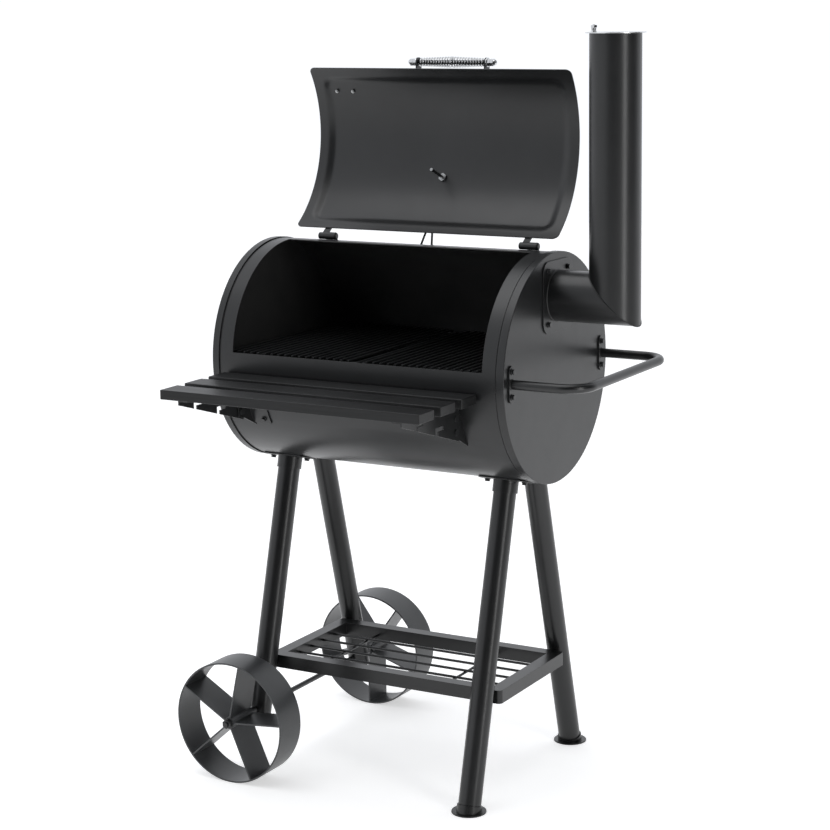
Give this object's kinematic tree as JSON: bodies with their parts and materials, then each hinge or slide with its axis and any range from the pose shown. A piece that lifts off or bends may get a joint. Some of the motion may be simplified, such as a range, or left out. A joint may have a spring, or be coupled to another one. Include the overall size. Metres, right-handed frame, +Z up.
{
  "type": "charcoal barrel grill smoker",
  "caption": "Charcoal barrel grill and smoker with a hinged lid, a side chimney with a rain cap, a slatted front table and a leaning-leg stand with wheels and a wire shelf.",
  "frame": {"origin": "centre of the overall box in plan, on the floor", "axes": "+Z up, +X along the barrel towards the chimney, -Y towards the cook and the front table"},
  "size_m": [0.8264, 0.7178, 1.3997],
  "materials": {
    "powder_coat": "semi-matte black powder coat",
    "barrel_coat": "semi-matte heat-resistant black paint",
    "wheel_coat": "semi-matte black powder coat, scuffed on the tread",
    "chrome_trim": "bright plated",
    "zinc_steel": "zinc plated, slightly dull",
    "black_steel": "black oxide, slightly oily",
    "bare_cap_steel": "plain rolled sheet",
    "grate_steel": "satin black enamel",
    "slat_wood": "black stain, faint grain",
    "blank_plate": "satin, blank",
    "dial_face": "matte white with a printed scale",
    "needle_paint": "satin red",
    "lens_glass": "clear",
    "knob_plastic": "heat-resistant black",
    "plug_plastic": "plain black"
  },
  "bodies": {
    "stand_and_barrel": {"barrel_shell": "barrel_coat", "left_end_cap": "barrel_coat", "right_end_cap": "barrel_coat", "grate_rails": "grate_steel", "air_damper_rivet": "zinc_steel", "lid_hinge_knuckles": "powder_coat", "lid_hinge_pins": "zinc_steel", "lid_stop_stay": "powder_coat", "chimney_flange": "powder_coat", "chimney_stub": "powder_coat", "chimney_stack": "powder_coat", "chimney_cap_tab": "bare_cap_steel", "chimney_cap_bolt": "chrome_trim", "chimney_cap_spring": "zinc_steel", "side_handle": "powder_coat", "side_handle_plates": "powder_coat", "table_brackets": "powder_coat", "front_left_leg": "powder_coat", "front_right_leg": "powder_coat", "rear_left_leg": "powder_coat", "rear_right_leg": "powder_coat", "leg_sockets": "powder_coat", "leg_plugs": "plug_plastic", "feet": "powder_coat", "axle": "black_steel", "axle_spacers": "black_steel", "axle_nuts": "black_steel", "shelf_frame": "powder_coat", "shelf_wires": "powder_coat", "frame_bolts": "black_steel"},
    "lid": {"lid_panel": "barrel_coat", "lid_hinge_eyes": "powder_coat", "lid_handle_brackets": "powder_coat", "lid_handle_rod": "black_steel", "lid_handle_coil": "chrome_trim", "lid_handle_nuts": "chrome_trim", "lid_bolts": "zinc_steel", "lid_nameplate": "blank_plate", "thermometer_bezel": "chrome_trim", "thermometer_case": "chrome_trim", "thermometer_dial": "dial_face", "thermometer_lens": "lens_glass", "thermometer_nut": "zinc_steel", "thermometer_stem": "zinc_steel"},
    "thermometer_needle": {"thermometer_needle": "needle_paint"},
    "front_table": {"left_table_arm": "powder_coat", "right_table_arm": "powder_coat", "table_front_slat": "slat_wood", "table_middle_slat": "slat_wood", "table_rear_slat": "slat_wood", "table_screws": "black_steel", "table_studs": "black_steel"},
    "chimney_cap": {"chimney_cap": "bare_cap_steel"},
    "air_damper": {"air_damper": "powder_coat", "air_damper_knob": "knob_plastic"},
    "front_wheel": {"front_wheel": "wheel_coat"},
    "rear_wheel": {"rear_wheel": "wheel_coat"},
    "left_cooking_grate": {"left_cooking_grate": "grate_steel"},
    "right_cooking_grate": {"right_cooking_grate": "grate_steel"},
    "charcoal_grate": {"charcoal_grate": "grate_steel"}
  },
  "joints": [
    {"name": "lid_hinge", "type": "hinge", "parent": "stand_and_barrel", "child": "lid", "pos_m": [0, 0.0871, 1.0005], "axis": [1, 0, 0], "range_deg": [0, 145.2]},
    {"name": "needle_turn", "type": "hinge", "parent": "lid", "child": "thermometer_needle", "pos_m": [-0.0587, 0.19699, 1.1073], "axis": [0, -0.9239, 0.3827], "range_deg": [0, 260], "stiffness_Nm_per_rad": 0.0002},
    {"name": "table_lift", "type": "slide", "parent": "stand_and_barrel", "child": "front_table", "axis": [0, 0, 1], "range_m": [0, 0.012]},
    {"name": "cap_swing", "type": "hinge", "parent": "stand_and_barrel", "child": "chimney_cap", "pos_m": [0.32696, 0.03948, 1.3849], "axis": [0, 0, 1], "continuous": true},
    {"name": "damper_turn", "type": "hinge", "parent": "stand_and_barrel", "child": "air_damper", "pos_m": [-0.3644, 0.0579, 0.68], "axis": [1, 0, 0], "range_deg": [0, 60]},
    {"name": "front_wheel_spin", "type": "hinge", "parent": "stand_and_barrel", "child": "front_wheel", "pos_m": [-0.2974, -0.1971, 0.1158], "axis": [0, 1, 0], "continuous": true},
    {"name": "rear_wheel_spin", "type": "hinge", "parent": "stand_and_barrel", "child": "rear_wheel", "pos_m": [-0.2974, 0.3129, 0.1158], "axis": [0, 1, 0], "continuous": true},
    {"name": "left_grate_lift", "type": "slide", "parent": "stand_and_barrel", "child": "left_cooking_grate", "axis": [0, 0, 1], "range_m": [0, 0.04]},
    {"name": "right_grate_lift", "type": "slide", "parent": "stand_and_barrel", "child": "right_cooking_grate", "axis": [0, 0, 1], "range_m": [0, 0.04]},
    {"name": "charcoal_grate_lift", "type": "slide", "parent": "stand_and_barrel", "child": "charcoal_grate", "axis": [0, 0, 1], "range_m": [0, 0.06]}
  ]
}
